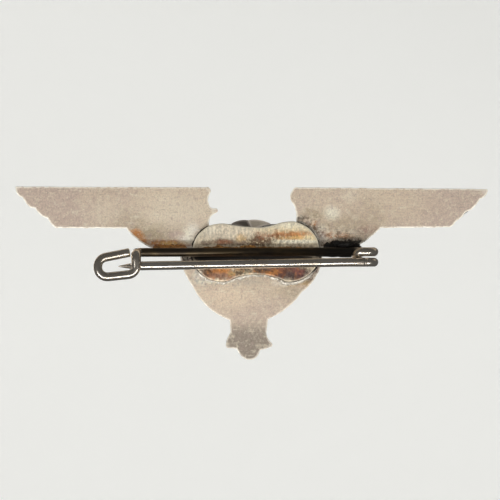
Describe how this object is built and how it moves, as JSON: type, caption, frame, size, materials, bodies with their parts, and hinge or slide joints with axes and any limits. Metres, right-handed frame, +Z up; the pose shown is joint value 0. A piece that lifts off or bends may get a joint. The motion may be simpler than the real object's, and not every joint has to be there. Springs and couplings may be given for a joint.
{
  "type": "pilot wings pin",
  "caption": "Winged flight-crew badge: two feathered wings, an enamelled heart-shaped shield and a tail, with a sprung wire pin and hook on its back.",
  "frame": {"origin": "middle of the plane on which the backs of the wings lie, at the height of the fixed leg of the pin; cloth lies against this plane", "axes": "+X along the wings towards the hook, +Y out of the back towards the wearer, -Y out of the decorated front, +Z up as worn"},
  "size_m": [0.066, 0.008, 0.0243],
  "materials": {
    "silvered_sheet": "silvered brass sheet, tarnished and dull, fine grain",
    "back_plate_sheet": "silvered brass sheet, heat stained, with a bright edge",
    "silvered_relief": "struck and silvered brass, polished on high spots, dark in hollows",
    "dark_enamel": "fired enamel, glossy dark blue",
    "light_enamel": "fired enamel, glossy light blue",
    "solder": "dull grey tin solder, slightly lumpy",
    "brazing": "brassy braze with dark flux residue",
    "wire": "nickel-plated spring wire, polished, lightly tarnished"
  },
  "bodies": {
    "badge": {"right_wing": "silvered_sheet", "left_wing": "silvered_sheet", "centre_body": "silvered_sheet", "back_plate": "back_plate_sheet", "centre_shield": "silvered_relief", "enamel_chief": "light_enamel", "enamel_field": "dark_enamel", "compass_star": "silvered_relief", "star_stud": "silvered_relief", "crest_leaf_right": "silvered_relief", "crest_leaf_left": "silvered_relief", "shield_solder": "solder", "back_plate_solder": "solder", "seam_solder_right": "solder", "seam_solder_left": "solder", "leg_solder_right": "brazing", "leg_solder_left": "brazing", "leg_solder_middle": "brazing", "fixed_leg": "wire", "catch_hook": "wire"},
    "coil": {"spring_coil": "wire"},
    "pin": {"pin_shaft": "wire"}
  },
  "joints": [
    {"name": "pin_side_swing", "type": "hinge", "parent": "badge", "child": "coil", "pos_m": [-0.0159, 0.00143, 0.00003], "axis": [0, 1, 0], "range_deg": [0, 6], "stiffness_Nm_per_rad": 0.05},
    {"name": "pin_open", "type": "hinge", "parent": "coil", "child": "pin", "pos_m": [-0.0159, 0.00267, -0.00142], "axis": [0, 0, 1], "range_deg": [-1.5, 65], "stiffness_Nm_per_rad": 0.05, "deforming": ["spring_coil"]}
  ]
}
